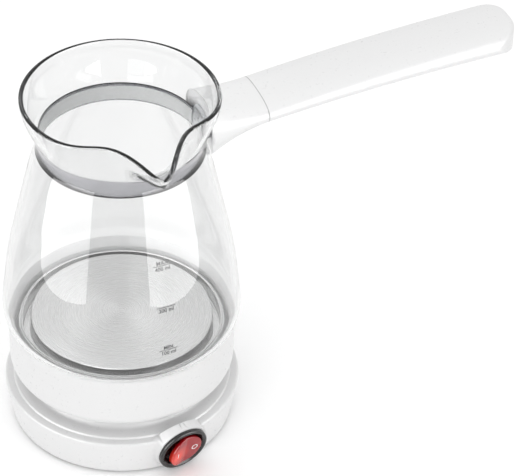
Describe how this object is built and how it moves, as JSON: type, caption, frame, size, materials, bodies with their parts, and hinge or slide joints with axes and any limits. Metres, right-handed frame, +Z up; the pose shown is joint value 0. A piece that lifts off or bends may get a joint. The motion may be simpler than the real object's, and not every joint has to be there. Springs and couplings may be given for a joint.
{
  "type": "electric turkish coffee maker",
  "caption": "Glass pot with a steel neck band, long arched handle and pressed spout, lifting off a round cordless base with a rocker switch.",
  "frame": {"origin": "where the pot's axis meets the table", "axes": "+Z up along the pot's axis, +X along the handle, -Y towards the spout"},
  "size_m": [0.2352, 0.1149, 0.1712],
  "materials": {
    "white_plastic": "satin moulded",
    "black_plastic": "satin moulded",
    "dark_plastic": "matt heat-resistant",
    "red_plastic": "translucent",
    "glass": "clear, fire-polished",
    "lamp_glass": "clear",
    "steel": "brushed",
    "polished_steel": "polished",
    "plain_steel": "zinc plated",
    "aluminium": "as cast",
    "brass": "bright",
    "rubber": "matt",
    "silicone": "translucent white",
    "lead_cover": "satin"
  },
  "bodies": {
    "base": {"base_shell": "white_plastic", "base_cover": "white_plastic", "base_feet": "rubber", "base_screws": "plain_steel", "base_leads": "lead_cover", "switch_housing": "black_plastic", "switch_terminals": "brass", "switch_lamp": "lamp_glass", "connector_base": "dark_plastic", "connector_contacts": "brass", "connector_screws": "plain_steel", "cord_gland": "rubber"},
    "switch": {"switch_rocker": "red_plastic"},
    "swivel": {"connector_ring": "dark_plastic"},
    "pot": {"bottom_collar": "white_plastic", "steel_pan": "steel", "pan_studs": "plain_steel", "pan_seal": "silicone", "clamp_ring": "plain_steel", "clamp_pillars": "plain_steel", "heat_spreader": "aluminium", "heating_element": "aluminium", "element_pins": "plain_steel", "element_links": "brass", "thermal_control": "dark_plastic", "bimetal_disc": "steel", "pot_socket": "dark_plastic", "socket_contacts": "brass", "underside_cover": "dark_plastic", "cover_screws": "plain_steel", "glass_body": "glass", "neck_band": "polished_steel", "neck_liner": "silicone", "clamp_screw": "plain_steel", "clamp_nut": "plain_steel", "handle_bracket": "white_plastic", "handle_tang": "plain_steel", "handle_grip": "white_plastic", "handle_screws": "plain_steel"}
  },
  "joints": [
    {"name": "rocker_tip", "type": "hinge", "parent": "base", "child": "switch", "pos_m": [0.0092, -0.05215, 0.01242], "axis": [-0.0376, 0.2132, -0.9763], "range_deg": [0, 20]},
    {"name": "pot_turn", "type": "hinge", "parent": "base", "child": "swivel", "pos_m": [0, 0, 0.0276], "axis": [0, 0, 1], "continuous": true},
    {"name": "pot_lift", "type": "slide", "parent": "swivel", "child": "pot", "axis": [0, 0, 1], "range_m": [0, 0.06]}
  ]
}
